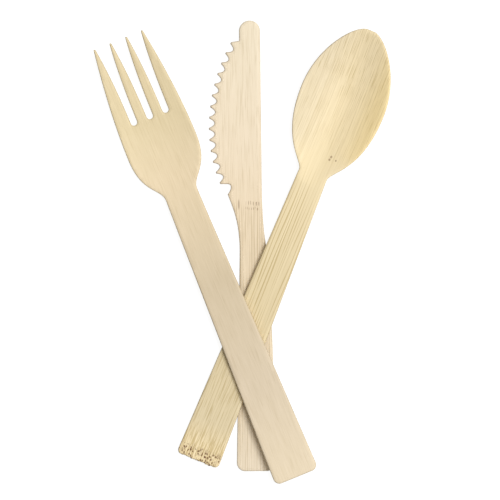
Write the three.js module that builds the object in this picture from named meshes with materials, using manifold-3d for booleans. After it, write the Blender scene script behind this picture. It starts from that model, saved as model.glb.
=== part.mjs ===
// Cutlery set of pressed bamboo: a fork, a spoon and a knife, fanned out and crossed on a table.
// Millimetres. +X to the right, +Y from the handles to the tips, +Z up.
// The origin lies on the table under the middle of the set.
import * as THREE from "three";
import { mergeVertices } from "three/addons/utils/BufferGeometryUtils.js";
import Module from "manifold-3d";

// Bamboo strip that all three utensils are cut from
const STRIP_THICKNESS = 1.8;
const EDGE_EASE = 0.35;

// Air between two utensils where one lies on the other
const REST_GAP = 0.3;

// Fork: lengths run from the handle's end to the neck, and from the neck to the tips
const FORK_HANDLE_LENGTH = 109;
const FORK_HEAD_LENGTH = 59.8;
const FORK_END_WIDTH = 16.3;
const FORK_END_CORNER = 2.3;
const FORK_NECK_WIDTH = 12;
const FORK_NECK_CURL = 5;
const FORK_SHOULDER_LENGTH = 18.5;
const FORK_SHOULDER_CURL = 13;
const FORK_HEAD_WIDTH = 26.1;
const FORK_CHEEK_LENGTH = 18;
const FORK_TINE_COUNT = 4;
const FORK_TINE_LENGTH = 30.5;
const FORK_TINE_PITCH = 6.1;
const FORK_TINE_TIP = 0.7;
const FORK_TINE_TAPER = 13;
const FORK_SLOT_WIDTH = 2.4;
const FORK_BEND_LENGTH = 15;
const FORK_HEAD_DIP = 3;
const FORK_TIP_RISE = 3.4;
const FORK_SIDE_RISE = 1;

// Spoon: lengths run from the handle's end to the neck, to the widest point and to the tip
const SPOON_HANDLE_LENGTH = 110.4;
const SPOON_SHOULDER_LENGTH = 28.6;
const SPOON_FRONT_LENGTH = 27.1;
const SPOON_END_WIDTH = 15.8;
const SPOON_END_CORNER = 2;
const SPOON_NECK_WIDTH = 10.7;
const SPOON_NECK_CURL = 3.6;
const SPOON_SHOULDER_CURL = 21.2;
const SPOON_BOWL_WIDTH = 31.5;
const SPOON_FRONT_CURL = 15.4;
const SPOON_TIP_CURL = 4.3;
const SPOON_TIP_FLAT = 2.4;
const SPOON_BOWL_DEPTH = 5.5;
const SPOON_BOWL_RUNOUT = 4;
const SPOON_BOWL_FULLNESS = 1.25;

// Knife: the cutting edge is on the left, with its teeth on two arcs that meet at the deepest point
const KNIFE_HANDLE_LENGTH = 78.8;
const KNIFE_BLADE_LENGTH = 82.4;
const KNIFE_END_WIDTH = 13.7;
const KNIFE_END_CORNER = 3;
const KNIFE_BACK_SWELL = 29;
const KNIFE_NECK_WIDTH = 9.9;
const KNIFE_BACK_OFFSET = 3.2;
const KNIFE_BACK_CURL = 6;
const KNIFE_BACK_RUNOUT = 25;
const KNIFE_TIP_WIDTH = 7.5;
const KNIFE_TIP_PLAIN = 7.9;
const KNIFE_TIP_STEP = 3;
const KNIFE_TIP_FLANK = 0.7;
const KNIFE_BELLY_AT = 43.5;
const KNIFE_BELLY_DEPTH = 15.45;
const KNIFE_REAR_SWEEP = 3.7;
const KNIFE_HEEL_AT = 20.3;
const KNIFE_HEEL_DEPTH = 9;
const KNIFE_HEEL_LAND = 0.3;
const KNIFE_HEEL_CURL_IN = 1.7;
const KNIFE_HEEL_CURL = 5;
const KNIFE_NOTCH_HEIGHT = 3.7;
const KNIFE_NOTCH_DEPTH = 1.5;
const KNIFE_NOTCH_CURL = 2;
const KNIFE_NECK_CURL = 11;
const KNIFE_TOOTH_COUNT = 14;
const KNIFE_TOOTH_TIP = 0.65;
const KNIFE_TOOTH_DEPTH = 1.9;

// Where each handle ends on the table, and how far the utensil leans to the left, in degrees
const FORK_END_X = 16.9;
const FORK_END_Y = -81.1;
const FORK_LEAN = 22.3;
const SPOON_END_X = -19;
const SPOON_END_Y = -75.5;
const SPOON_LEAN = -22.1;
const KNIFE_END_X = 2.2;
const KNIFE_END_Y = -79.1;
const KNIFE_LEAN = 0.64;

// Sanded bamboo
const FORK_COLOUR = 0xe6d4b0;
const SPOON_COLOUR = 0xebd8b0;
const KNIFE_COLOUR = 0xeedcc0;
const BAMBOO_ROUGHNESS = 0.7;

// Fineness of the facets
const CURVE_STEPS = 9;
const STATION_STEP = 13;
const STRIP_COLUMNS = 14;
const CUTTER_MARGIN = 5;

// Fineness of the search for the rest positions
const PROBE_STEP = 2;
const SETTLE_PASSES = 3;
const FAR_AWAY = 1000;
const CONTACT_TOLERANCE = 1e-4;

const wasm = await Module();
wasm.setup();

function toSolid(geometry) {
  geometry.deleteAttribute("normal");
  geometry.deleteAttribute("uv");
  const merged = mergeVertices(geometry);
  const vertProperties = merged.getAttribute("position").array;
  const triVerts = new Uint32Array(merged.index.array);
  return new wasm.Manifold(new wasm.Mesh({ numProp: 3, vertProperties, triVerts }));
}

function toGeometry(solid) {
  const { vertProperties, triVerts } = solid.getMesh();
  const geometry = new THREE.BufferGeometry();
  geometry.setAttribute("position", new THREE.BufferAttribute(vertProperties, 3));
  geometry.setIndex(new THREE.BufferAttribute(triVerts, 1));
  geometry.computeVertexNormals();
  return geometry;
}

// Right-hand edge of a handle, from its end round the corner and up to the neck
function handleEdge(endWidth, corner, neckWidth, length) {
  const edge = new THREE.Path();
  edge.absarc(endWidth / 2 - corner, corner, corner, -Math.PI / 2, 0);
  edge.lineTo(neckWidth / 2, length);
  return edge;
}

// Points along an edge, with extra ones wherever two lie far apart
function stationsAlong(edge) {
  const points = edge.getPoints(CURVE_STEPS);
  const stations = [points[0]];
  for (let i = 1; i < points.length; i += 1) {
    const pieces = Math.ceil(points[i].distanceTo(points[i - 1]) / STATION_STEP);
    for (let piece = 1; piece <= pieces; piece += 1) {
      stations.push(points[i - 1].clone().lerp(points[i], piece / pieces));
    }
  }
  return stations;
}

// Strip of bamboo with the edge given on both sides, eased all round and pressed to a height
function pressedStrip(edge, press) {
  const stations = stationsAlong(edge);
  const rows = stations.length - 1;
  const outerColumn = STRIP_COLUMNS / 2;
  const geometry = new THREE.BoxGeometry(STRIP_COLUMNS, rows, 2, STRIP_COLUMNS, rows, 1);
  const position = geometry.getAttribute("position");
  for (let i = 0; i < position.count; i += 1) {
    const column = Math.round(position.getX(i));
    const { x: halfWidth, y } = stations[Math.round(position.getY(i) + rows / 2)];
    const onEdge = Math.abs(column) === outerColumn;
    const inset = onEdge ? 0 : EDGE_EASE;
    const x = (halfWidth - inset) * (onEdge ? Math.sign(column) : column / (outerColumn - 1));
    const depth = Math.min(inset, y, stations[rows].y - y);
    const halfThickness = STRIP_THICKNESS / 2 - EDGE_EASE + depth;
    position.setXYZ(i, x, y, press(x, y) + Math.sign(position.getZ(i)) * halfThickness);
  }
  return geometry;
}

// Height of the fork's middle surface: the head dips, its tines and sides rise again
function forkPress(x, y) {
  const lowest = FORK_HANDLE_LENGTH + FORK_SHOULDER_LENGTH;
  const sunk = THREE.MathUtils.smoothstep(y, FORK_HANDLE_LENGTH - FORK_BEND_LENGTH, lowest);
  const beyond = Math.max(0, y - lowest) / (FORK_HEAD_LENGTH - FORK_SHOULDER_LENGTH);
  const aside = x / (FORK_HEAD_WIDTH / 2);
  return sunk * (FORK_SIDE_RISE * aside ** 2 - FORK_HEAD_DIP) + FORK_TIP_RISE * beyond ** 2;
}

// Space between two tines, with a round root, widening towards the tips
function tineSlot(x) {
  const tip = FORK_HANDLE_LENGTH + FORK_HEAD_LENGTH;
  const root = tip - FORK_TINE_LENGTH + FORK_SLOT_WIDTH / 2;
  const half = FORK_SLOT_WIDTH / 2;
  const halfMouth = (FORK_TINE_PITCH - FORK_TINE_TIP) / 2;
  const outline = new THREE.Shape();
  outline.absarc(x, root, half, -Math.PI, 0);
  outline.quadraticCurveTo(x + half, tip - FORK_TINE_TAPER, x + halfMouth, tip);
  outline.lineTo(x + halfMouth, tip + CUTTER_MARGIN);
  outline.lineTo(x - halfMouth, tip + CUTTER_MARGIN);
  outline.lineTo(x - halfMouth, tip);
  outline.quadraticCurveTo(x - half, tip - FORK_TINE_TAPER, x - half, root);
  const reach = FORK_HEAD_DIP + FORK_TIP_RISE + FORK_SIDE_RISE + STRIP_THICKNESS + CUTTER_MARGIN;
  const options = { depth: 2 * reach, bevelEnabled: false, curveSegments: CURVE_STEPS };
  return new THREE.ExtrudeGeometry(outline, options).translate(0, 0, -reach);
}

function forkGeometry() {
  const neck = FORK_HANDLE_LENGTH;
  const widest = neck + FORK_SHOULDER_LENGTH;
  const tip = neck + FORK_HEAD_LENGTH;
  const halfNeck = FORK_NECK_WIDTH / 2;
  const halfHead = FORK_HEAD_WIDTH / 2;
  const halfTips = ((FORK_TINE_COUNT - 1) * FORK_TINE_PITCH + FORK_TINE_TIP) / 2;
  const edge = handleEdge(FORK_END_WIDTH, FORK_END_CORNER, FORK_NECK_WIDTH, neck);
  edge.bezierCurveTo(
    halfNeck, neck + FORK_NECK_CURL, halfHead, widest - FORK_SHOULDER_CURL, halfHead, widest,
  );
  edge.quadraticCurveTo(halfHead, widest + FORK_CHEEK_LENGTH, halfTips, tip);
  let fork = toSolid(pressedStrip(edge, forkPress));
  for (let slot = 1; slot < FORK_TINE_COUNT; slot += 1) {
    const x = (slot - FORK_TINE_COUNT / 2) * FORK_TINE_PITCH;
    fork = fork.subtract(toSolid(tineSlot(x)));
  }
  return toGeometry(fork);
}

// Height of the spoon's middle surface: an oval bowl that runs out into the neck
function spoonPress(x, y) {
  const along = y - SPOON_HANDLE_LENGTH - SPOON_SHOULDER_LENGTH;
  const reach = along > 0 ? SPOON_FRONT_LENGTH : SPOON_SHOULDER_LENGTH + SPOON_BOWL_RUNOUT;
  const inside = 1 - (along / reach) ** 2 - (x / (SPOON_BOWL_WIDTH / 2)) ** 2;
  return -SPOON_BOWL_DEPTH * Math.max(0, inside) ** SPOON_BOWL_FULLNESS;
}

function spoonGeometry() {
  const neck = SPOON_HANDLE_LENGTH;
  const widest = neck + SPOON_SHOULDER_LENGTH;
  const tip = widest + SPOON_FRONT_LENGTH;
  const halfNeck = SPOON_NECK_WIDTH / 2;
  const halfBowl = SPOON_BOWL_WIDTH / 2;
  const halfFlat = SPOON_TIP_FLAT / 2;
  const edge = handleEdge(SPOON_END_WIDTH, SPOON_END_CORNER, SPOON_NECK_WIDTH, neck);
  edge.bezierCurveTo(
    halfNeck, neck + SPOON_NECK_CURL, halfBowl, widest - SPOON_SHOULDER_CURL, halfBowl, widest,
  );
  edge.bezierCurveTo(halfBowl, widest + SPOON_FRONT_CURL, halfFlat + SPOON_TIP_CURL, tip, halfFlat, tip);
  return toGeometry(toSolid(pressedStrip(edge, spoonPress)));
}

// Arc of the knife's cutting edge from its deepest point, by its run along the blade and its sweep across
function edgeArc(run, sweep) {
  const radius = (run ** 2 + sweep ** 2) / (2 * sweep);
  return { radius, length: radius * Math.asin(run / radius) };
}

// The front arc ends at the tooth next to the plain tip, the rear arc at the one above the heel's notch
const frontArc = edgeArc(
  KNIFE_BLADE_LENGTH - KNIFE_TIP_PLAIN - KNIFE_BELLY_AT,
  KNIFE_BELLY_DEPTH + KNIFE_BACK_OFFSET - KNIFE_TIP_WIDTH - KNIFE_TIP_STEP,
);
const rearArc = edgeArc(
  KNIFE_BELLY_AT - KNIFE_HEEL_AT - KNIFE_NOTCH_HEIGHT - KNIFE_HEEL_LAND,
  KNIFE_REAR_SWEEP,
);
const toothPitch = (frontArc.length + rearArc.length) / (KNIFE_TOOTH_COUNT - 1);

// Point of the knife's cutting edge at a distance along it from its deepest point, towards the tip
function bellyPoint(distance) {
  const { radius } = distance > 0 ? frontArc : rearArc;
  const angle = distance / radius;
  const x = radius * (1 - Math.cos(angle)) - KNIFE_BELLY_DEPTH;
  const y = KNIFE_HANDLE_LENGTH + KNIFE_BELLY_AT + radius * Math.sin(angle);
  return { x, y, angle };
}

// Outline of the knife before its teeth are cut: up the back, round the tip and down the cutting edge
function knifeBlank() {
  const halfEnd = KNIFE_END_WIDTH / 2;
  const halfNeck = KNIFE_NECK_WIDTH / 2;
  const neck = KNIFE_HANDLE_LENGTH;
  const tipRadius = KNIFE_TIP_WIDTH / 2;
  const tipCentre = neck + KNIFE_BLADE_LENGTH - tipRadius;
  const belly = neck + KNIFE_BELLY_AT;
  const frontX = frontArc.radius - KNIFE_BELLY_DEPTH;
  const rearX = rearArc.radius - KNIFE_BELLY_DEPTH;
  const frontAngle = (frontArc.length + KNIFE_TOOTH_TIP / 2) / frontArc.radius;
  const rearAngle = (rearArc.length + KNIFE_TOOTH_TIP / 2) / rearArc.radius;
  const heelX = -KNIFE_HEEL_DEPTH;
  const heelY = neck + KNIFE_HEEL_AT;
  const outline = new THREE.Shape();
  outline.absarc(halfEnd - KNIFE_END_CORNER, KNIFE_END_CORNER, KNIFE_END_CORNER, -Math.PI / 2, 0);
  outline.quadraticCurveTo(halfEnd, neck - KNIFE_BACK_SWELL, halfNeck, neck);
  outline.quadraticCurveTo(
    KNIFE_BACK_OFFSET, neck + KNIFE_BACK_CURL, KNIFE_BACK_OFFSET, neck + KNIFE_BACK_RUNOUT,
  );
  outline.absarc(KNIFE_BACK_OFFSET - tipRadius, tipCentre, tipRadius, 0, Math.PI);
  const tipStep = neck + KNIFE_BLADE_LENGTH - KNIFE_TIP_PLAIN + KNIFE_TIP_FLANK;
  outline.lineTo(KNIFE_BACK_OFFSET - KNIFE_TIP_WIDTH, tipStep);
  outline.absarc(frontX, belly, frontArc.radius, Math.PI - frontAngle, Math.PI);
  outline.absarc(rearX, belly, rearArc.radius, Math.PI, Math.PI + rearAngle);
  const notchX = heelX + KNIFE_NOTCH_DEPTH;
  const notchY = heelY + KNIFE_NOTCH_HEIGHT;
  outline.lineTo(heelX, notchY);
  outline.bezierCurveTo(notchX, notchY, notchX, heelY + KNIFE_NOTCH_CURL, heelX, heelY);
  outline.bezierCurveTo(
    heelX + KNIFE_HEEL_CURL_IN, heelY - KNIFE_HEEL_CURL, -halfNeck, neck + KNIFE_NECK_CURL, -halfNeck, neck,
  );
  outline.lineTo(-halfEnd, KNIFE_END_CORNER);
  outline.absarc(KNIFE_END_CORNER - halfEnd, KNIFE_END_CORNER, KNIFE_END_CORNER, Math.PI, 1.5 * Math.PI);
  return outline;
}

// Gap between two teeth, open to the left, round at its bottom
function gullet() {
  const half = (toothPitch - KNIFE_TOOTH_TIP) / 2;
  const outline = new THREE.Shape();
  outline.moveTo(-CUTTER_MARGIN, half);
  outline.lineTo(-CUTTER_MARGIN, -half);
  outline.lineTo(0, -half);
  outline.quadraticCurveTo(2 * KNIFE_TOOTH_DEPTH, 0, 0, half);
  const height = STRIP_THICKNESS + 2 * CUTTER_MARGIN;
  const options = { depth: height, bevelEnabled: false, curveSegments: CURVE_STEPS };
  return new THREE.ExtrudeGeometry(outline, options).translate(0, 0, -height / 2);
}

function knifeGeometry() {
  const blank = new THREE.ExtrudeGeometry(knifeBlank(), {
    depth: STRIP_THICKNESS - 2 * EDGE_EASE,
    bevelThickness: EDGE_EASE,
    bevelSize: EDGE_EASE,
    bevelOffset: -EDGE_EASE,
    bevelSegments: 1,
    curveSegments: CURVE_STEPS,
  });
  blank.translate(0, 0, EDGE_EASE - STRIP_THICKNESS / 2);
  let knife = toSolid(blank);
  for (let tooth = 1; tooth < KNIFE_TOOTH_COUNT; tooth += 1) {
    const { x, y, angle } = bellyPoint((tooth - 0.5) * toothPitch - rearArc.length);
    knife = knife.subtract(toSolid(gullet().rotateZ(-angle).translate(x, y, 0)));
  }
  return toGeometry(knife);
}

// Centre of mass of a closed mesh, in the table's frame
function centreOfMass(mesh) {
  const position = mesh.geometry.getAttribute("position");
  const corners = mesh.geometry.index.array;
  const [a, b, c] = [new THREE.Vector3(), new THREE.Vector3(), new THREE.Vector3()];
  const moment = new THREE.Vector3();
  let volume = 0;
  for (let i = 0; i < corners.length; i += 3) {
    [a, b, c].forEach((corner, k) => corner.fromBufferAttribute(position, corners[i + k]));
    const share = a.dot(b.clone().cross(c)) / 6;
    volume += share;
    moment.addScaledVector(a.add(b).add(c), share / 4);
  }
  return mesh.localToWorld(moment.divideScalar(volume));
}

// Height at which an upright line first meets a mesh, from below (+1) or from above (-1)
function heightAt(mesh, x, y, direction) {
  const from = new THREE.Vector3(x, y, -direction * FAR_AWAY);
  const hits = new THREE.Raycaster(from, new THREE.Vector3(0, 0, direction)).intersectObject(mesh);
  return hits.length > 0 ? hits[0].point.z : null;
}

// How far each point of a utensil can fall before it meets the table or a utensil that lies under it
function fallsOf(mesh, supports) {
  const falls = [];
  const corner = new THREE.Vector3();
  const position = mesh.geometry.getAttribute("position");
  for (let i = 0; i < position.count; i += 1) {
    mesh.localToWorld(corner.fromBufferAttribute(position, i));
    falls.push({ x: corner.x, y: corner.y, fall: corner.z });
  }
  const reach = new THREE.Box3().setFromObject(mesh);
  for (const support of supports) {
    const { min, max } = new THREE.Box3().setFromObject(support);
    for (let x = Math.max(min.x, reach.min.x); x <= Math.min(max.x, reach.max.x); x += PROBE_STEP) {
      for (let y = Math.max(min.y, reach.min.y); y <= Math.min(max.y, reach.max.y); y += PROBE_STEP) {
        const underside = heightAt(mesh, x, y, 1);
        const top = underside === null ? null : heightAt(support, x, y, -1);
        if (top !== null) {
          falls.push({ x, y, fall: underside - top - REST_GAP });
        }
      }
    }
  }
  return falls;
}

// Sloping drop that brings three points down to contact, and how well they stand round the centre
function dropOnto(contacts, centre) {
  const rows = contacts.flatMap(({ x, y }) => [1, x - centre.x, y - centre.y]);
  const inverse = new THREE.Matrix3().set(...rows).invert();
  const drop = new THREE.Vector3(...contacts.map(({ fall }) => fall)).applyMatrix3(inverse);
  const [first, , , second, , , third] = inverse.elements;
  return { contacts, drop, hold: Math.min(first, second, third) };
}

// Lowest sloping drop that no point stops before it: it ends on three contacts round the centre of mass
function restingDrop(falls, centre) {
  const start = [0, 1, 2].map((turn) => ({
    x: centre.x + FAR_AWAY * Math.cos((turn * 2 * Math.PI) / 3),
    y: centre.y + FAR_AWAY * Math.sin((turn * 2 * Math.PI) / 3),
    fall: FAR_AWAY,
  }));
  let best = dropOnto(start, centre);
  for (;;) {
    const { drop, contacts } = best;
    const spare = ({ x, y, fall }) => fall - drop.x - drop.y * (x - centre.x) - drop.z * (y - centre.y);
    const first = falls.reduce((least, next) => (spare(next) < spare(least) ? next : least));
    if (spare(first) > -CONTACT_TOLERANCE) {
      return drop;
    }
    const options = contacts.map((_, i) => dropOnto(contacts.with(i, first), centre));
    best = options.reduce((most, next) => (next.hold > most.hold ? next : most));
  }
}

// Lets a utensil sink and tip until it lies on the table and on the utensils under it
function settle(mesh, supports) {
  for (let pass = 0; pass < SETTLE_PASSES; pass += 1) {
    mesh.updateMatrixWorld();
    const centre = centreOfMass(mesh);
    const drop = restingDrop(fallsOf(mesh, supports), centre);
    const upright = new THREE.Vector3(0, 0, 1);
    const normal = new THREE.Vector3(drop.y, drop.z, 1).normalize();
    const turn = new THREE.Quaternion().setFromUnitVectors(upright, normal);
    mesh.quaternion.premultiply(turn);
    mesh.position.sub(centre).applyQuaternion(turn).add(centre);
    mesh.position.z -= drop.x;
  }
  mesh.updateMatrixWorld();
}

function layUtensil(name, geometry, colour, place, supports) {
  const material = new THREE.MeshStandardMaterial({ color: colour, roughness: BAMBOO_ROUGHNESS });
  const mesh = new THREE.Mesh(geometry, material);
  mesh.name = name;
  mesh.position.set(place.x, place.y, 0);
  mesh.rotation.z = THREE.MathUtils.degToRad(place.lean);
  settle(mesh, supports);
  return mesh;
}

const forkPlace = { x: FORK_END_X, y: FORK_END_Y, lean: FORK_LEAN };
const spoonPlace = { x: SPOON_END_X, y: SPOON_END_Y, lean: SPOON_LEAN };
const knifePlace = { x: KNIFE_END_X, y: KNIFE_END_Y, lean: KNIFE_LEAN };
const knife = layUtensil("knife", knifeGeometry(), KNIFE_COLOUR, knifePlace, []);
const spoon = layUtensil("spoon", spoonGeometry(), SPOON_COLOUR, spoonPlace, [knife]);
const fork = layUtensil("fork", forkGeometry(), FORK_COLOUR, forkPlace, [knife, spoon]);

const cutlerySet = new THREE.Group();
cutlerySet.add(knife, spoon, fork);
const box = new THREE.Box3().setFromObject(cutlerySet, true);
const middle = box.getCenter(new THREE.Vector3());
cutlerySet.position.set(-middle.x, -middle.y, -box.min.z);

export default cutlerySet;
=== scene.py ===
"""Bamboo fork, spoon and knife, fanned out and crossed on a white table.

Shapes are drawn in millimetres, each utensil in a frame of its own: the end of its handle lies at the
origin, +Y runs to its tip and +Z is up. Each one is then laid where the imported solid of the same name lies.
"""

import math

import bpy
import numpy as np
from mathutils.geometry import delaunay_2d_cdt
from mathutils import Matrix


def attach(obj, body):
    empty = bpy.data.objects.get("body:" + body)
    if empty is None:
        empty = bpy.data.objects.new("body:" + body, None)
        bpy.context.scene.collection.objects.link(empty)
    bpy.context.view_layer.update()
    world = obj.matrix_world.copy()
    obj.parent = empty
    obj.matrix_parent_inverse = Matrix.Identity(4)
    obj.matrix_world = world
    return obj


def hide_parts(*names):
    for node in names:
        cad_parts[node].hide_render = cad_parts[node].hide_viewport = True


MM = 0.001

# Bamboo strip
STRIP_THICKNESS = 1.8
EDGE_ROUND = 0.38
EDGE_FULLNESS = 1.3
RIM_WIDTH = 0.4

# Fork
FORK_HANDLE = 109
FORK_HEAD = 59.8
FORK_END_WIDTH = 16.3
FORK_END_CORNER = 2.3
FORK_NECK_WIDTH = 12
FORK_NECK_CURL = 5
FORK_SHOULDER = 18.5
FORK_SHOULDER_CURL = 13
FORK_HEAD_WIDTH = 26.1
FORK_CHEEK = 18
TINE_COUNT = 4
TINE_LENGTH = 30.5
TINE_PITCH = 6.1
TINE_TIP = 0.7
TINE_TAPER = 13
SLOT_WIDTH = 2.4
FORK_BEND = 15
FORK_DIP = 3
FORK_TIP_RISE = 3.4
FORK_SIDE_RISE = 1

# Spoon
SPOON_HANDLE = 110.4
SPOON_SHOULDER = 28.6
SPOON_FRONT = 27.1
SPOON_END_WIDTH = 15.8
SPOON_END_CORNER = 2
SPOON_END_RAGGED = 0.36
SPOON_END_SEED = 9
SPOON_NECK_WIDTH = 10.7
SPOON_NECK_CURL = 3.6
SPOON_SHOULDER_CURL = 21.2
BOWL_WIDTH = 31.5
SPOON_FRONT_CURL = 15.4
SPOON_TIP_CURL = 4.3
SPOON_TIP_FLAT = 2.4
BOWL_DEPTH = 5.5
BOWL_RUNOUT = 4
BOWL_FULLNESS = 1.25

# Knife
KNIFE_HANDLE = 78.8
KNIFE_BLADE = 82.4
KNIFE_END_WIDTH = 13.7
KNIFE_END_CORNER = 3
KNIFE_BACK_SWELL = 29
KNIFE_NECK_WIDTH = 9.9
KNIFE_BACK_OFFSET = 3.2
KNIFE_BACK_CURL = 6
KNIFE_BACK_RUNOUT = 25
KNIFE_TIP_WIDTH = 7.5
KNIFE_TIP_PLAIN = 7.9
KNIFE_TIP_STEP = 3
KNIFE_TIP_FLANK = 0.7
KNIFE_BELLY_AT = 43.5
KNIFE_BELLY_DEPTH = 15.45
KNIFE_REAR_SWEEP = 3.7
KNIFE_HEEL_AT = 20.3
KNIFE_HEEL_DEPTH = 9
KNIFE_HEEL_LAND = 0.3
KNIFE_HEEL_CURL_IN = 1.7
KNIFE_HEEL_CURL = 5
KNIFE_NOTCH_HEIGHT = 3.7
KNIFE_NOTCH_DEPTH = 1.5
KNIFE_NOTCH_CURL = 2
KNIFE_NECK_CURL = 11
TOOTH_COUNT = 14
TOOTH_TIP = 0.65
TOOTH_DEPTH = 1.9

# Fineness of the meshes
OUTLINE_STEP = 0.4
FEWEST_STEPS = 4
GRID_STEP = 0.9
GRID_CLEAR = GRID_STEP / 3
ROUNDING_RINGS = 4
RING_TOLERANCE = 0.97
DISTANCE_CHUNK = 400
ONLY_INSIDE = 1
MERGE_DISTANCE = 1e-6

# View straight from above: the photograph's middle and width on the table
PHOTO_MIDDLE = (2.870, 0.712)
PHOTO_WIDTH = 178.95
LENS = 800
SENSOR = 36

# Finish that all the bamboo shares
# Dark colour of the marks, also used for painted shade
MARK_AND_SHADE_COLOUR = (0.16, 0.075, 0.03)
RIM_COLOUR = (0.62, 0.55, 0.45)
RIM_DARKNESS = 0.12
ROUGHNESS = 0.55
GRAIN_ROUGHNESS = 0.15
SPECULAR = 0.3
RELIEF_DEPTH = 0.05
RELIEF_STRENGTH = 0.5
TONES_LENGTH = 170

# Noise in general: its levels of detail, and its middle value
NOISE_DETAIL = 2
FIBRE_DETAIL = 3
NOISE_MIDDLE = 0.5

# Noises that make the patterns uneven, by their changes in a millimetre across and along the strip
LINE_DRIFT_NOISE = (0.3, 0.01)
PORE_NOISE = (1.4, 1.4)
TICK_DRIFT_NOISE = (0.5, 0.01)
TICK_STRENGTH_NOISE = (1.2, 1.2)
TICK_HEIGHT_NOISE = (1.1, 0.01)

# The lines' uneven strength, by its changes from line to line and in a millimetre along the strip
LINE_STRENGTH_ACROSS = 0.7
LINE_STRENGTH_ALONG = 0.045

# How far the noises push a pattern: drifts in spacings of its lines, the others in millimetres
LINE_DRIFT = 4
TICK_DRIFT = 2
TICK_SHIFT = 2
PORE_RAGGED = 1.2

# Seeds of the two noises that fray the pores, across and along
PORE_SEEDS = (61, 67)

# Soft steps of the patterns: the value that gives 0 and the value that gives 1
LINE_EDGE = (0.45, 1.0)
LINE_STRENGTH = (0.25, 0.6)
SPOT_EDGE = (1.3, 0.6)
PORE_DEPTH = (0.0, 0.7)
TICK_EDGE = (0.2, 0.8)

# Softness of the bounds of a row of ticks, in millimetres to either side
TICK_SIDE_SOFTNESS = 0.3
TICK_END_SOFTNESS = 0.2

# Bamboo of the fork: colours by their place along the strip, and the tint of the grain
FORK_TONES = [
    (0, (0.81, 0.69, 0.51)),
    (35, (0.71, 0.60, 0.45)),
    (75, (0.66, 0.55, 0.39)),
    (115, (0.82, 0.68, 0.47)),
    (138, (0.76, 0.64, 0.41)),
]
FORK_GRAIN_TINT = (0.72, 0.69, 0.60)

# Bamboo of the spoon, with the soft steps that bound its patterns, first along the strip and then across
SPOON_TONES = [
    (0, (1.0, 0.84, 0.55)),
    (15, (0.75, 0.64, 0.43)),
    (60, (0.76, 0.64, 0.41)),
    (110, (0.87, 0.74, 0.49)),
    (166, (0.87, 0.74, 0.50)),
]
SPOON_GRAIN_TINT = (0.66, 0.61, 0.48)
# Tints of the bowl's sides: partly the bamboo's own tint, partly painted light on the shaded right and
# painted shade on the lit left
GOLDEN_TONE_AND_PAINTED_LIGHT = (1.11, 1.07, 0.91)
ROSY_TONE_AND_PAINTED_SHADE = (0.91, 0.93, 1.0)
SOFT_LINES = (120, 82)
CLEAR_LINES = (40, 70)
BROKEN_LINES = (58, 45)
BOWL_START = (112, 124)
BOWL_FRONT = (136, 154)
SAWN_SPLITS = (15, 5)
SAWN_STAIN = (7, 4)
SAWN_PORES = (5.5, 3.5)
STRONG_LINES_SIDE = (3.5, -1.0)
# Sides of the bowl that take the golden tint with painted light and the rosy tint with painted shade
GOLDEN_AND_PAINTED_LIGHT_SIDE = (3, 15)
ROSY_AND_PAINTED_SHADE_SIDE = (0, -12)
# Side of the bowl whose rim gets painted shade, away from the key light
PAINTED_SHADE_RIM_SIDE = (-4, -9)
BOWL_SPECKS = [
    {"at": (3.6, 118.8), "half_size": (0.4, 0.5)},
    {"at": (3.4, 117.7), "half_size": (0.38, 0.45)},
    {"at": (5.7, 118.2), "half_size": (0.3, 0.35)},
]

# Bamboo of the knife, with the bounds and places of its marks
KNIFE_TONES = [
    (0, (0.82, 0.71, 0.55)),
    (60, (0.77, 0.65, 0.47)),
    (95, (0.80, 0.67, 0.49)),
    (115, (0.83, 0.71, 0.54)),
    (160, (0.83, 0.73, 0.56)),
]
KNIFE_GRAIN_TINT = (0.70, 0.66, 0.57)
KNIFE_LINES_STOP = (97, 93)
KNIFE_LINES_GROW = (-90, 60)
NODE_ROWS = [
    {"spacing": 0.8, "sides": (-2.8, 2.3), "ends": (93.6, 94.4), "seed": 71},
    {"spacing": 0.9, "sides": (-2.5, 2.6), "ends": (95.2, 96.5), "seed": 83},
]
NODE_STROKE = {"at": (-5.1, 95.4), "half_size": (0.28, 1.9)}
# A dark spot on the back of the knife by its neck, next to where the spoon crosses it
BACK_DARK_SPOT = {"at": (4.7, 80.2), "half_size": (0.4, 0.6)}
# Bounds of the darker rim of the teeth, partly a scorched cut edge and partly painted shade on the side away
# from the key light
TEETH_SIDE = (-3, -5)
TEETH_START = (97, 103)

# Studio, in metres and watts
FLOOR_SIZE = 8
FLOOR_GREY = 0.22
FLOOR_ROUGHNESS = 0.9
FLOOR_GLOW = 0.9
KEY_DIRECTION = (0.37, 0.085, 1.0)
KEY_DISTANCE = 1.6
KEY_SIZE = 0.75
KEY_POWER = 20.0
KEY_COLOUR = (1.0, 1.025, 1.085)
WALL_COLOUR = (1.0, 0.96, 0.88)
WALL_BRIGHT_SIDE = (0.8, 0.35, 0.49)
WALL_DARK = 0.05
WALL_BRIGHT = 0.75


def line(start, end):
    """Points from start up to, but not at, the end."""
    count = max(1, math.ceil(math.dist(start, end) / OUTLINE_STEP))
    shares = np.arange(count)[:, None] / count
    return np.array(start) * (1 - shares) + np.array(end) * shares


def arc(centre, radius, start, end):
    """Points along an arc between two angles, without the last."""
    count = max(FEWEST_STEPS, math.ceil(abs(end - start) * radius / OUTLINE_STEP))
    angles = start + (end - start) * np.arange(count) / count
    return np.array(centre) + radius * np.column_stack([np.cos(angles), np.sin(angles)])


def curve(*controls):
    """Points along the Bezier curve of some control points, without the last."""
    points = [np.array(control, float) for control in controls]
    length = sum(math.dist(a, b) for a, b in zip(controls, controls[1:]))
    count = max(FEWEST_STEPS, math.ceil(length / OUTLINE_STEP))
    shares = np.arange(count)[:, None] / count
    while len(points) > 1:
        points = [a * (1 - shares) + b * shares for a, b in zip(points, points[1:])]
    return points[0]


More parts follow.
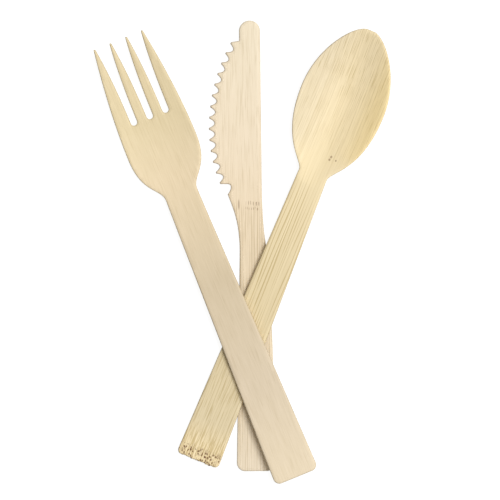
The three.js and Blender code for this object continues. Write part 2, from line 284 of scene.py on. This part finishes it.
def mirrored(points):
    """The same edge on the left, run the other way."""
    return (points * (-1, 1))[::-1]


def handle_edge(end_width, corner, neck_width, length):
    """Right-hand edge of a handle from the middle of its end up to the neck."""
    half_end = end_width / 2
    return np.vstack([
        line((0, 0), (half_end - corner, 0)),
        arc((half_end - corner, corner), corner, -math.pi / 2, 0),
        line((half_end, corner), (neck_width / 2, length)),
    ])


def fork_outline():
    """Outline of the fork, anticlockwise from the middle of the handle's end."""
    neck = FORK_HANDLE
    widest = neck + FORK_SHOULDER
    tip = neck + FORK_HEAD
    half_neck = FORK_NECK_WIDTH / 2
    half_head = FORK_HEAD_WIDTH / 2
    half_tips = ((TINE_COUNT - 1) * TINE_PITCH + TINE_TIP) / 2
    half_slot = SLOT_WIDTH / 2
    half_mouth = (TINE_PITCH - TINE_TIP) / 2
    tip_radius = TINE_TIP / 2
    tine_end = tip - tip_radius
    taper = tip - TINE_TAPER
    root = tip - TINE_LENGTH + half_slot
    side = np.vstack([
        handle_edge(FORK_END_WIDTH, FORK_END_CORNER, FORK_NECK_WIDTH, neck),
        curve((half_neck, neck), (half_neck, neck + FORK_NECK_CURL),
              (half_head, widest - FORK_SHOULDER_CURL), (half_head, widest)),
        curve((half_head, widest), (half_head, widest + FORK_CHEEK), (half_tips, tine_end)),
    ])
    parts = [side]
    for slot in reversed(range(1, TINE_COUNT)):
        x = (slot - TINE_COUNT / 2) * TINE_PITCH
        parts += [
            arc((x + TINE_PITCH / 2, tine_end), tip_radius, 0, math.pi),
            curve((x + half_mouth, tine_end), (x + half_slot, taper), (x + half_slot, root)),
            arc((x, root), half_slot, 0, -math.pi),
            curve((x - half_slot, root), (x - half_slot, taper), (x - half_mouth, tine_end)),
        ]
    parts += [
        arc((tip_radius - half_tips, tine_end), tip_radius, 0, math.pi),
        [(-half_tips, tine_end)],
        mirrored(side[1:]),
    ]
    return np.vstack(parts)


def fork_press(x, y):
    """Height of the fork's middle surface: the head dips, its tines and sides rise again."""
    lowest = FORK_HANDLE + FORK_SHOULDER
    share = np.clip((y - FORK_HANDLE + FORK_BEND) / (FORK_BEND + FORK_SHOULDER), 0, 1)
    sunk = share * share * (3 - 2 * share)
    beyond = np.maximum(0, y - lowest) / (FORK_HEAD - FORK_SHOULDER)
    aside = x / (FORK_HEAD_WIDTH / 2)
    return sunk * (FORK_SIDE_RISE * aside ** 2 - FORK_DIP) + FORK_TIP_RISE * beyond ** 2


def spoon_outline():
    """Outline of the spoon, anticlockwise from the middle of the handle's end."""
    neck = SPOON_HANDLE
    widest = neck + SPOON_SHOULDER
    tip = widest + SPOON_FRONT
    half_neck = SPOON_NECK_WIDTH / 2
    half_bowl = BOWL_WIDTH / 2
    half_flat = SPOON_TIP_FLAT / 2
    side = np.vstack([
        handle_edge(SPOON_END_WIDTH, SPOON_END_CORNER, SPOON_NECK_WIDTH, neck),
        curve((half_neck, neck), (half_neck, neck + SPOON_NECK_CURL),
              (half_bowl, widest - SPOON_SHOULDER_CURL), (half_bowl, widest)),
        curve((half_bowl, widest), (half_bowl, widest + SPOON_FRONT_CURL),
              (half_flat + SPOON_TIP_CURL, tip), (half_flat, tip)),
        line((half_flat, tip), (0, tip)),
    ])
    return np.vstack([side, [(0, tip)], mirrored(side[1:])])


def ragged_end(outline):
    """Outline with the fibres at the sawn end of the handle broken off unevenly."""
    ragged = outline.copy()
    at_end = ragged[:, 1] < SPOON_END_RAGGED / 2
    ragged[at_end, 1] += np.random.default_rng(SPOON_END_SEED).uniform(0, SPOON_END_RAGGED, at_end.sum())
    return ragged


def spoon_press(x, y):
    """Height of the spoon's middle surface: an oval bowl that runs out into the neck."""
    along = y - SPOON_HANDLE - SPOON_SHOULDER
    reach = np.where(along > 0, SPOON_FRONT, SPOON_SHOULDER + BOWL_RUNOUT)
    inside = 1 - (along / reach) ** 2 - (x / (BOWL_WIDTH / 2)) ** 2
    return -BOWL_DEPTH * np.maximum(0, inside) ** BOWL_FULLNESS


def edge_arc(run, sweep):
    """Radius and length of the arc of the cutting edge from its deepest point."""
    radius = (run ** 2 + sweep ** 2) / (2 * sweep)
    return radius, radius * math.asin(run / radius)


def knife_teeth(tip_left):
    """Toothed edge from the front tooth to the last, on two arcs that meet at the deepest point."""
    front_run = KNIFE_BLADE - KNIFE_TIP_PLAIN - KNIFE_BELLY_AT
    front_radius, front_length = edge_arc(front_run, KNIFE_BELLY_DEPTH + tip_left - KNIFE_TIP_STEP)
    rear_run = KNIFE_BELLY_AT - KNIFE_HEEL_AT - KNIFE_NOTCH_HEIGHT - KNIFE_HEEL_LAND
    rear_radius, rear_length = edge_arc(rear_run, KNIFE_REAR_SWEEP)
    pitch = (front_length + rear_length) / (TOOTH_COUNT - 1)
    half_tooth = TOOTH_TIP / 2

    def belly_point(distance, inward=0):
        """Point on the line through the teeth, or inward of it, by its distance from the deepest point."""
        radius = front_radius if distance > 0 else rear_radius
        turn = distance / radius
        return (radius - KNIFE_BELLY_DEPTH - (radius - inward) * math.cos(turn),
                KNIFE_HANDLE + KNIFE_BELLY_AT + (radius - inward) * math.sin(turn))

    parts = [[belly_point(front_length + half_tooth)]]
    for gap in reversed(range(TOOTH_COUNT - 1)):
        upper = (gap + 1) * pitch - rear_length - half_tooth
        lower = gap * pitch - rear_length + half_tooth
        bottom = belly_point((upper + lower) / 2, 2 * TOOTH_DEPTH)
        parts.append(curve(belly_point(upper), bottom, belly_point(lower)))
        parts.append([belly_point(lower)])
    parts.append([belly_point(-rear_length - half_tooth)])
    return np.vstack(parts)


def knife_outline():
    """Outline of the knife, anticlockwise from the middle of the handle's end."""
    neck = KNIFE_HANDLE
    tip = neck + KNIFE_BLADE
    half_end = KNIFE_END_WIDTH / 2
    half_neck = KNIFE_NECK_WIDTH / 2
    corner = KNIFE_END_CORNER
    back = (KNIFE_BACK_OFFSET, neck + KNIFE_BACK_RUNOUT)
    tip_radius = KNIFE_TIP_WIDTH / 2
    tip_centre = tip - tip_radius
    tip_left = KNIFE_BACK_OFFSET - KNIFE_TIP_WIDTH
    tip_step = (tip_left, tip - KNIFE_TIP_PLAIN + KNIFE_TIP_FLANK)
    heel_x = -KNIFE_HEEL_DEPTH
    heel_y = neck + KNIFE_HEEL_AT
    notch_x = heel_x + KNIFE_NOTCH_DEPTH
    notch_y = heel_y + KNIFE_NOTCH_HEIGHT
    teeth = knife_teeth(tip_left)
    return np.vstack([
        line((0, 0), (half_end - corner, 0)),
        arc((half_end - corner, corner), corner, -math.pi / 2, 0),
        curve((half_end, corner), (half_end, neck - KNIFE_BACK_SWELL), (half_neck, neck)),
        curve((half_neck, neck), (KNIFE_BACK_OFFSET, neck + KNIFE_BACK_CURL), back),
        line(back, (KNIFE_BACK_OFFSET, tip_centre)),
        arc((KNIFE_BACK_OFFSET - tip_radius, tip_centre), tip_radius, 0, math.pi),
        line((tip_left, tip_centre), tip_step),
        line(tip_step, teeth[0]),
        teeth[:-1],
        line(teeth[-1], (heel_x, notch_y)),
        curve((heel_x, notch_y), (notch_x, notch_y), (notch_x, heel_y + KNIFE_NOTCH_CURL), (heel_x, heel_y)),
        curve((heel_x, heel_y), (heel_x + KNIFE_HEEL_CURL_IN, heel_y - KNIFE_HEEL_CURL),
              (-half_neck, neck + KNIFE_NECK_CURL), (-half_neck, neck)),
        line((-half_neck, neck), (-half_end, corner)),
        arc((corner - half_end, corner), corner, math.pi, 1.5 * math.pi),
        line((corner - half_end, 0), (0, 0)),
    ])


def knife_press(x, y):
    """Height of the knife's middle surface, which is flat."""
    return np.zeros_like(x)


def distances_to(outline, points):
    """Distance of each point from a closed outline."""
    step = np.roll(outline, -1, axis=0) - outline
    step_squared = (step ** 2).sum(axis=1)
    found = []
    for first in range(0, len(points), DISTANCE_CHUNK):
        offset = points[first:first + DISTANCE_CHUNK, None, :] - outline[None, :, :]
        share = np.clip((offset * step).sum(axis=2) / step_squared, 0, 1)
        gap = offset - share[:, :, None] * step
        found.append(np.sqrt((gap ** 2).sum(axis=2).min(axis=1)))
    return np.concatenate(found)


def ring_inside(outline, inset):
    """Outline moved inwards, without the points that come nearer to another stretch of it."""
    along = np.roll(outline, -1, axis=0) - np.roll(outline, 1, axis=0)
    inward = np.column_stack([-along[:, 1], along[:, 0]])
    inward /= np.linalg.norm(inward, axis=1)[:, None]
    ring = outline + inset * inward
    return ring[distances_to(outline, ring) > RING_TOLERANCE * inset]


def grid_over(outline):
    """Even grid of points over the outline's box, clear of the rounded edge."""
    low = outline.min(axis=0)
    high = outline.max(axis=0)
    x = np.arange(low[0], high[0], GRID_STEP)
    y = np.arange(low[1], high[1], GRID_STEP)
    grid = np.array(np.meshgrid(x, y)).reshape(2, -1).T
    return grid[distances_to(outline, grid) > EDGE_ROUND + GRID_CLEAR]


def sheet_over(outline):
    """Flat sheet that fills an outline, finest at its edge: points, triangles and the outline's places."""
    turns = [math.pi / 2 * ring / ROUNDING_RINGS for ring in range(1, ROUNDING_RINGS + 1)]
    rings = [ring_inside(outline, EDGE_ROUND * (1 - math.cos(turn))) for turn in turns]
    points = [tuple(point) for point in np.vstack([outline, *rings, grid_over(outline)]).tolist()]
    border = list(range(len(outline)))
    corners, _, triangles, sources, _, _ = delaunay_2d_cdt(points, [], [border], ONLY_INSIDE, MERGE_DISTANCE)
    place = {source: i for i, merged in enumerate(sources) for source in merged}
    # Points of the grid outside the outline are in no triangle, and drop out here
    used, triangles = np.unique(np.array(triangles), return_inverse=True)
    border = np.searchsorted(used, [place[i] for i in border]).tolist()
    return np.array(corners)[used], triangles.reshape(-1, 3), border


def utensil_shape(outline, press):
    """Closed strip with rounded edges: points before and after pressing, triangles, nearness to the rim."""
    flat, triangles, border = sheet_over(outline)
    x = flat[:, 0]
    y = flat[:, 1]
    inset = distances_to(outline, flat)
    inset[border] = 0
    fall = EDGE_ROUND - np.minimum(inset, EDGE_ROUND)
    rounded = (1 - (fall / EDGE_ROUND) ** EDGE_FULLNESS) ** (1 / EDGE_FULLNESS)
    half = STRIP_THICKNESS / 2 - EDGE_ROUND * (1 - rounded)
    strip = np.vstack([np.column_stack([x, y, half]), np.column_stack([x, y, -half])])
    pressed = strip.copy()
    pressed[:, 2] += np.tile(press(x, y), 2)
    under = len(flat)
    walls = []
    for here, after in zip(border, border[1:] + border[:1]):
        walls += [(here, here + under, after + under), (here, after + under, after)]
    faces = np.vstack([triangles, triangles[:, ::-1] + under, walls])
    rim = np.tile(np.clip(1 - inset / RIM_WIDTH, 0, 1), 2)
    return strip, pressed, faces, rim


def principal_frame(points, triangles):
    """Middle of a closed solid, and its wide, long and thin axes as columns."""
    # Each triangle and the origin span a tetrahedron. Its middle is the sum of its corners over 4, and
    # its second moment is its volume over 20 times the squares of its corners and of their sum.
    # Volumes are left 6 times too large and the spread 120 times, which turns no axis.
    corners = points[triangles]
    volumes = (corners[:, 0] * np.cross(corners[:, 1], corners[:, 2])).sum(axis=1)
    sums = corners.sum(axis=1)
    middle = volumes @ sums / (4 * volumes.sum())
    spread = -20 * volumes.sum() * np.outer(middle, middle)
    for part in (corners[:, 0], corners[:, 1], corners[:, 2], sums):
        spread += (volumes[:, None] * part).T @ part
    axes = np.linalg.eigh(spread)[1]
    thin = axes[:, 0] * np.sign(axes[2, 0])
    long = axes[:, 2] * np.sign(axes[1, 2])
    return middle, np.column_stack([np.cross(long, thin), long, thin])


def laid_as(solid, points, faces):
    """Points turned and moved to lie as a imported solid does, with the ends of the handles level."""
    solid.calc_loop_triangles()
    solid_points = np.array([vertex.co for vertex in solid.vertices])
    solid_triangles = np.array([triangle.vertices for triangle in solid.loop_triangles])
    solid_middle, solid_axes = principal_frame(solid_points, solid_triangles)
    own_middle, own_axes = principal_frame(points, faces)
    own = (points - own_middle) @ own_axes
    target = (solid_points - solid_middle) @ solid_axes
    own[:, 1] += target[:, 1].min() - own[:, 1].min()
    return own @ solid_axes.T + solid_middle


def lay_utensil(nodes, name, outline, press, material):
    """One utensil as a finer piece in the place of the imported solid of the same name."""
    strip, pressed, faces, rim = utensil_shape(outline, press)
    laid = laid_as(nodes[name].data, pressed * MM, faces)
    mesh = bpy.data.meshes.new(name + "_strip")
    mesh.from_pydata(laid.tolist(), [], faces.tolist())
    mesh.attributes.new("strip", "FLOAT_VECTOR", "POINT").data.foreach_set("vector", strip.ravel())
    mesh.attributes.new("rim", "FLOAT", "POINT").data.foreach_set("value", rim)
    mesh.shade_smooth()
    mesh.materials.append(material)
    piece = bpy.data.objects.new(name + "_strip", mesh)
    bpy.context.scene.collection.objects.link(piece)
    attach(piece, "root")
    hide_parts(name)


def opaque(colour):
    """Colour with full alpha."""
    return (*colour, 1)


class Bamboo:
    """Shader of one utensil, with every pattern laid out in millimetres of its own strip."""

    def __init__(self, name):
        self.material = bpy.data.materials.new(name)
        self.material.use_nodes = True
        self.tree = self.material.node_tree
        self.shader = self.tree.nodes["Principled BSDF"]
        self.place = self.add("ShaderNodeAttribute", attribute_name="strip").outputs["Vector"]
        split = self.add("ShaderNodeSeparateXYZ", [self.place])
        self.across = split.outputs["X"]
        self.along = split.outputs["Y"]
        self.rim = self.add("ShaderNodeAttribute", attribute_name="rim").outputs["Fac"]

    def add(self, kind, inputs=(), **settings):
        """New node with its first inputs linked or set in order."""
        node = self.tree.nodes.new(kind)
        for setting, value in settings.items():
            setattr(node, setting, value)
        for socket, value in zip(node.inputs, inputs):
            self.feed(socket, value)
        return node

    def feed(self, socket, value):
        """Links an input to another node's output, or sets it to a plain value."""
        if isinstance(value, bpy.types.NodeSocket):
            self.tree.links.new(value, socket)
        else:
            socket.default_value = value

    def calc(self, operation, *values):
        """Result of one sum on numbers."""
        return self.add("ShaderNodeMath", values, operation=operation).outputs[0]

    def calc_vector(self, operation, *values):
        """Result of one sum on vectors."""
        return self.add("ShaderNodeVectorMath", values, operation=operation).outputs[0]

    def between(self, value, low, high):
        """0 on the low side and 1 on the high side of a soft step, which may also fall."""
        step = self.add("ShaderNodeMapRange", [value, low, high], interpolation_type="SMOOTHSTEP")
        return step.outputs[0]

    def step_along(self, empty, full):
        """Soft step along the strip, by two distances from the handle's end."""
        return self.between(self.along, empty, full)

    def step_across(self, empty, full):
        """Soft step across the strip, by two distances to the right of its middle."""
        return self.between(self.across, empty, full)

    def within(self, mask, place):
        """Mask cut down to a place, which is a mask too."""
        return self.calc("MULTIPLY", mask, place)

    def band(self, value, limits, soft):
        """1 between two limits, falling off softly at them."""
        low, high = limits
        rising = self.between(value, low - soft, low + soft)
        falling = self.between(value, high + soft, high - soft)
        return self.within(rising, falling)

    def noise(self, across, along, seed, detail=NOISE_DETAIL):
        """Random pattern, by how often it changes in a millimetre across and along the strip."""
        scale = (across, along, across / 2)
        stretched = self.calc_vector("MULTIPLY_ADD", self.place, scale, (seed, seed, seed))
        cloud = self.add("ShaderNodeTexNoise", [stretched])
        cloud.inputs["Scale"].default_value = 1
        cloud.inputs["Detail"].default_value = detail
        return cloud.outputs["Fac"]

    def streaks(self, across, along, seed, edge):
        """Dark streaks along the strip where the random pattern passes a soft step."""
        return self.between(self.noise(across, along, seed), *edge)

    def wave(self, spacing, drift):
        """Sine across the strip, so many millimetres from crest to crest, moved aside by the drift."""
        turns = self.calc("MULTIPLY_ADD", self.across, 1 / spacing, drift)
        return self.calc("SINE", self.calc("MULTIPLY", turns, 2 * math.pi))

    def lines(self, spacing, seed):
        """Thin dark lines along the strip, so many millimetres apart, uneven in place and strength."""
        drift = self.calc("MULTIPLY", self.noise(*LINE_DRIFT_NOISE, seed), LINE_DRIFT)
        crests = self.between(self.wave(spacing, drift), *LINE_EDGE)
        clouds = self.noise(LINE_STRENGTH_ACROSS / spacing, LINE_STRENGTH_ALONG, seed + 1)
        return self.within(crests, self.between(clouds, *LINE_STRENGTH))

    def spot(self, at, half_size):
        """One mark at a place on the strip."""
        x, y = at
        half_width, half_length = half_size
        offset = self.calc_vector("ADD", self.place, (-x, -y, 0))
        scaled = self.calc_vector("MULTIPLY", offset, (1 / half_width, 1 / half_length, 0))
        distance = self.add("ShaderNodeVectorMath", [scaled], operation="LENGTH").outputs["Value"]
        return self.between(distance, *SPOT_EDGE)

    def pores(self, across, along, edge):
        """Scattered ragged holes of uneven depth, from cells of the given count in a millimetre."""
        ragged = self.add("ShaderNodeCombineXYZ", [self.noise(*PORE_NOISE, seed) for seed in PORE_SEEDS])
        place = self.calc_vector("MULTIPLY_ADD", ragged.outputs[0], (PORE_RAGGED,) * 3, self.place)
        scaled = self.calc_vector("MULTIPLY", place, (across, along, 0))
        cells = self.add("ShaderNodeTexVoronoi", [scaled], voronoi_dimensions="2D")
        cells.inputs["Scale"].default_value = 1
        chance = self.add("ShaderNodeSeparateXYZ", [cells.outputs["Color"]]).outputs["X"]
        holes = self.between(cells.outputs["Distance"], *edge)
        return self.within(holes, self.between(chance, *PORE_DEPTH))

    def ticks(self, spacing, sides, ends, seed):
        """Short row of fine strokes across part of the strip, uneven in place and strength."""
        drift = self.calc("MULTIPLY", self.noise(*TICK_DRIFT_NOISE, seed), TICK_DRIFT)
        crests = self.between(self.wave(spacing, drift), *TICK_EDGE)
        strokes = self.within(crests, self.noise(*TICK_STRENGTH_NOISE, seed + 1))
        shift = self.calc("SUBTRACT", self.noise(*TICK_HEIGHT_NOISE, seed + 2), NOISE_MIDDLE)
        height = self.calc("MULTIPLY_ADD", shift, TICK_SHIFT, self.along)
        row = self.within(self.band(self.across, sides, TICK_SIDE_SOFTNESS),
                          self.band(height, ends, TICK_END_SOFTNESS))
        return self.within(strokes, row)

    def sum_of(self, masks):
        """Weighted sum of (weight, mask) pairs."""
        total = 0.0
        for weight, mask in masks:
            total = self.calc("MULTIPLY_ADD", mask, weight, total)
        return total

    def mix(self, share, colour, other, blend="MIX"):
        """Colour taken a share of the way to another, or to its blend with the other."""
        node = self.add("ShaderNodeMix", data_type="RGBA", blend_type=blend)
        self.feed(node.inputs["Factor"], share)
        self.feed(node.inputs["A"], colour)
        self.feed(node.inputs["B"], opaque(other))
        return node.outputs["Result"]

    def ground(self, tones):
        """Colour that changes along the strip, from (millimetres, colour) stops."""
        share = self.calc("DIVIDE", self.along, TONES_LENGTH)
        ramp = self.add("ShaderNodeValToRGB", [share])
        stops = ramp.color_ramp.elements
        for place, _ in tones[1:-1]:
            stops.new(place / TONES_LENGTH)
        for stop, (place, colour) in zip(stops, tones):
            stop.position = place / TONES_LENGTH
            stop.color = opaque(colour)
        return ramp.outputs["Color"]

    def finish(self, ground, grain_tint, grain, relief, marks=0.0):
        """Joins the ground colour, the tinted grain and the dark marks, among them painted shade on some
        rims, and sets gloss and relief.
        """
        grained = self.mix(grain, ground, grain_tint, "MULTIPLY")
        # The dark marks include painted shade on the spoon bowl's left rim and on the knife's teeth
        marked = self.mix(marks, grained, MARK_AND_SHADE_COLOUR)
        edged = self.mix(self.calc("MULTIPLY", self.rim, RIM_DARKNESS), marked, RIM_COLOUR, "MULTIPLY")
        bump = self.add("ShaderNodeBump")
        self.feed(bump.inputs["Strength"], RELIEF_STRENGTH)
        self.feed(bump.inputs["Distance"], RELIEF_DEPTH * MM)
        self.feed(bump.inputs["Height"], relief)
        rough = self.calc("MULTIPLY_ADD", grain, GRAIN_ROUGHNESS, ROUGHNESS)
        self.feed(self.shader.inputs["Base Color"], edged)
        self.feed(self.shader.inputs["Roughness"], rough)
        self.feed(self.shader.inputs["Specular IOR Level"], SPECULAR)
        self.feed(self.shader.inputs["Normal"], bump.outputs["Normal"])
        return self.material


def fork_bamboo():
    """Bamboo with a fine, even grain."""
    bamboo = Bamboo("fork_bamboo")
    fibre = bamboo.noise(across=2.1, along=0.1, seed=3, detail=FIBRE_DETAIL)
    tone = bamboo.noise(across=0.35, along=0.015, seed=17)
    dash = bamboo.streaks(across=2.4, along=0.12, seed=29, edge=(0.55, 0.68))
    grain = bamboo.sum_of([(0.6, fibre), (0.2, tone), (0.2, dash)])
    return bamboo.finish(bamboo.ground(FORK_TONES), FORK_GRAIN_TINT, grain, fibre)


def spoon_ground(bamboo, bowl):
    """Ground colour of the spoon, golden on the right of its bowl and rosy on the left: partly the bamboo's
    own tint, partly painted light on the bowl's shaded right side and painted shade on its lit left side.
    """
    # Painted light on the right of the bowl and painted shade on its left, each mixed with the bamboo's own
    # tint
    golden = bamboo.within(bowl, bamboo.step_across(*GOLDEN_AND_PAINTED_LIGHT_SIDE))
    rosy = bamboo.within(bowl, bamboo.step_across(*ROSY_AND_PAINTED_SHADE_SIDE))
    warmed = bamboo.mix(golden, bamboo.ground(SPOON_TONES), GOLDEN_TONE_AND_PAINTED_LIGHT, "MULTIPLY")
    return bamboo.mix(rosy, warmed, ROSY_TONE_AND_PAINTED_SHADE, "MULTIPLY")


def spoon_grain(bamboo, fibre, bowl):
    """Grain of the spoon: lines on the handle, dashes and hairs in the bowl, splits at the sawn end."""
    tone = bamboo.noise(across=0.3, along=0.012, seed=11)
    soft = bamboo.within(bamboo.lines(spacing=1.05, seed=57), bamboo.step_along(*SOFT_LINES))
    clear = bamboo.within(soft, bamboo.step_along(*CLEAR_LINES))
    strong = bamboo.within(clear, bamboo.step_across(*STRONG_LINES_SIDE))
    coarse = bamboo.streaks(across=2.2, along=0.09, seed=53, edge=(0.53, 0.62))
    broken = bamboo.within(coarse, bamboo.step_along(*BROKEN_LINES))
    fine = bamboo.streaks(across=4.2, along=0.13, seed=47, edge=(0.54, 0.64))
    dash = bamboo.within(fine, bowl)
    front = bamboo.within(dash, bamboo.step_along(*BOWL_FRONT))
    hair = bamboo.within(bamboo.lines(spacing=0.8, seed=97), bowl)
    short = bamboo.streaks(across=3.0, along=0.22, seed=41, edge=(0.5, 0.58))
    split = bamboo.within(short, bamboo.step_along(*SAWN_SPLITS))
    return bamboo.sum_of([
        (0.5, fibre), (0.2, tone), (0.35, soft), (0.3, clear), (0.85, strong), (0.45, broken),
        (0.26, dash), (0.3, hair), (0.26, front), (0.85, split),
    ])


def spoon_marks_and_shade(bamboo, bowl):
    """Dark marks of the spoon: pores and stains at its sawn end and specks on its bowl, with painted shade
    along the left rim of its bowl.
    """
    holes = bamboo.pores(across=1.1, along=0.8, edge=(0.44, 0.16))
    pores = bamboo.within(holes, bamboo.step_along(*SAWN_PORES))
    strokes = bamboo.streaks(across=2.6, along=0.35, seed=83, edge=(0.52, 0.6))
    stain = bamboo.within(strokes, bamboo.step_along(*SAWN_STAIN))
    # Painted shade: the rim on the left of the bowl, away from the key light, is darkened in its colour
    painted_shade_side = bamboo.within(bowl, bamboo.step_across(*PAINTED_SHADE_RIM_SIDE))
    rim = bamboo.within(bamboo.rim, painted_shade_side)
    specks = [(0.6, bamboo.spot(**speck)) for speck in BOWL_SPECKS]
    return bamboo.sum_of([(1.0, pores), (0.3, stain), (0.5, rim), *specks])


def spoon_bamboo():
    """Bamboo with a strong grain that is sawn off across its pores."""
    bamboo = Bamboo("spoon_bamboo")
    fibre = bamboo.noise(across=1.6, along=0.03, seed=5, detail=FIBRE_DETAIL)
    bowl = bamboo.step_along(*BOWL_START)
    ground = spoon_ground(bamboo, bowl)
    grain = spoon_grain(bamboo, fibre, bowl)
    marks = spoon_marks_and_shade(bamboo, bowl)
    return bamboo.finish(ground, SPOON_GRAIN_TINT, grain, fibre, marks)


def knife_grain(bamboo, fibre):
    """Grain of the knife: dashes all along it, and lines on the handle below the growth node."""
    tone = bamboo.noise(across=0.5, along=0.02, seed=19)
    dash = bamboo.streaks(across=3.6, along=0.11, seed=31, edge=(0.52, 0.66))
    below = bamboo.within(bamboo.step_along(*KNIFE_LINES_STOP), bamboo.step_along(*KNIFE_LINES_GROW))
    strong = bamboo.within(bamboo.lines(spacing=0.85, seed=37), below)
    return bamboo.sum_of([(0.5, fibre), (0.2, tone), (0.3, dash), (0.85, strong)])


def knife_marks_and_shade(bamboo):
    """Dark marks of the knife: its growth node, a dark spot at its back, and the darker rim of its teeth,
    partly a scorched cut edge and partly painted shade.
    """
    # Partly painted shade: the rim along the teeth, on the side away from the key light, is darkened in its
    # colour beyond the darker cut edge
    cutting = bamboo.within(bamboo.step_across(*TEETH_SIDE), bamboo.step_along(*TEETH_START))
    teeth = bamboo.within(bamboo.rim, cutting)
    stroke = bamboo.spot(**NODE_STROKE)
    back_spot = bamboo.spot(**BACK_DARK_SPOT)
    rows = [(1.0, bamboo.ticks(**row)) for row in NODE_ROWS]
    return bamboo.sum_of([(0.35, teeth), (0.5, stroke), (0.6, back_spot), *rows])


def knife_bamboo():
    """Pale bamboo with a growth node across the neck."""
    bamboo = Bamboo("knife_bamboo")
    fibre = bamboo.noise(across=1.8, along=0.07, seed=7, detail=FIBRE_DETAIL)
    grain = knife_grain(bamboo, fibre)
    return bamboo.finish(bamboo.ground(KNIFE_TONES), KNIFE_GRAIN_TINT, grain, fibre, knife_marks_and_shade(bamboo))


def add_floor():
    """White table that shows only a trace of shadow."""
    bpy.ops.mesh.primitive_plane_add(size=FLOOR_SIZE)
    floor = bpy.context.object
    floor.name = "floor"
    material = bpy.data.materials.new("white_table")
    material.use_nodes = True
    shader = material.node_tree.nodes["Principled BSDF"]
    shader.inputs["Base Color"].default_value = (FLOOR_GREY, FLOOR_GREY, FLOOR_GREY, 1)
    shader.inputs["Roughness"].default_value = FLOOR_ROUGHNESS
    shader.inputs["Specular IOR Level"].default_value = 0
    shader.inputs["Emission Color"].default_value = (1, 1, 1, 1)
    shader.inputs["Emission Strength"].default_value = FLOOR_GLOW
    floor.data.materials.append(material)
    # Keeps the table's glow out of the diffuse light on the bamboo
    floor.visible_diffuse = False


def add_key_light():
    """Square light that shines on the set from nearly overhead, a little to the right."""
    data = bpy.data.lights.new("key", "AREA")
    data.size = KEY_SIZE
    data.energy = KEY_POWER
    data.color = KEY_COLOUR
    light = bpy.data.objects.new("key", data)
    unit = np.array(KEY_DIRECTION) / np.linalg.norm(KEY_DIRECTION)
    light.location = (unit * KEY_DISTANCE).tolist()
    light.rotation_euler = light.location.to_track_quat("Z", "Y").to_euler()
    bpy.context.scene.collection.objects.link(light)


def add_world():
    """Studio walls, brightest to the right, behind and above, and darkest on the opposite side."""
    world = bpy.data.worlds.new("studio")
    world.use_nodes = True
    tree = world.node_tree
    towards = tree.nodes.new("ShaderNodeTexCoord").outputs["Generated"]
    facing = tree.nodes.new("ShaderNodeVectorMath")
    facing.operation = "DOT_PRODUCT"
    facing.inputs[1].default_value = WALL_BRIGHT_SIDE
    tree.links.new(towards, facing.inputs[0])
    level = tree.nodes.new("ShaderNodeMapRange")
    level.inputs["From Min"].default_value = -1
    level.inputs["To Min"].default_value = WALL_DARK
    level.inputs["To Max"].default_value = WALL_BRIGHT
    tree.links.new(facing.outputs["Value"], level.inputs["Value"])
    background = tree.nodes["Background"]
    background.inputs["Color"].default_value = opaque(WALL_COLOUR)
    tree.links.new(level.outputs["Result"], background.inputs["Strength"])
    bpy.context.scene.world = world


def add_camera():
    """Camera straight above the middle of the photograph, far off with a long lens."""
    data = bpy.data.cameras.new("camera")
    data.lens = LENS
    data.sensor_width = SENSOR
    camera = bpy.data.objects.new("camera", data)
    camera.location = (PHOTO_MIDDLE[0] * MM, PHOTO_MIDDLE[1] * MM, PHOTO_WIDTH * MM * LENS / SENSOR)
    bpy.context.scene.collection.objects.link(camera)
    bpy.context.scene.camera = camera


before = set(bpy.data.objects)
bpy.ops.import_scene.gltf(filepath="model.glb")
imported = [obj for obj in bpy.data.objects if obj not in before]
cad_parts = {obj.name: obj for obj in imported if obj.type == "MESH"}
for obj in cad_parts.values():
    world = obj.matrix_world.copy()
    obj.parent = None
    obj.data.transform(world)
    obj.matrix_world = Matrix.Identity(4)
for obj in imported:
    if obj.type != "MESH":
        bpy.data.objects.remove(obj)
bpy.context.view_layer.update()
add_camera()

lay_utensil(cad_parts, "knife", knife_outline(), knife_press, knife_bamboo())
lay_utensil(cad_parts, "spoon", ragged_end(spoon_outline()), spoon_press, spoon_bamboo())
lay_utensil(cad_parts, "fork", fork_outline(), fork_press, fork_bamboo())

add_floor()
add_key_light()
add_world()
bpy.context.scene.view_settings.view_transform = "Standard"
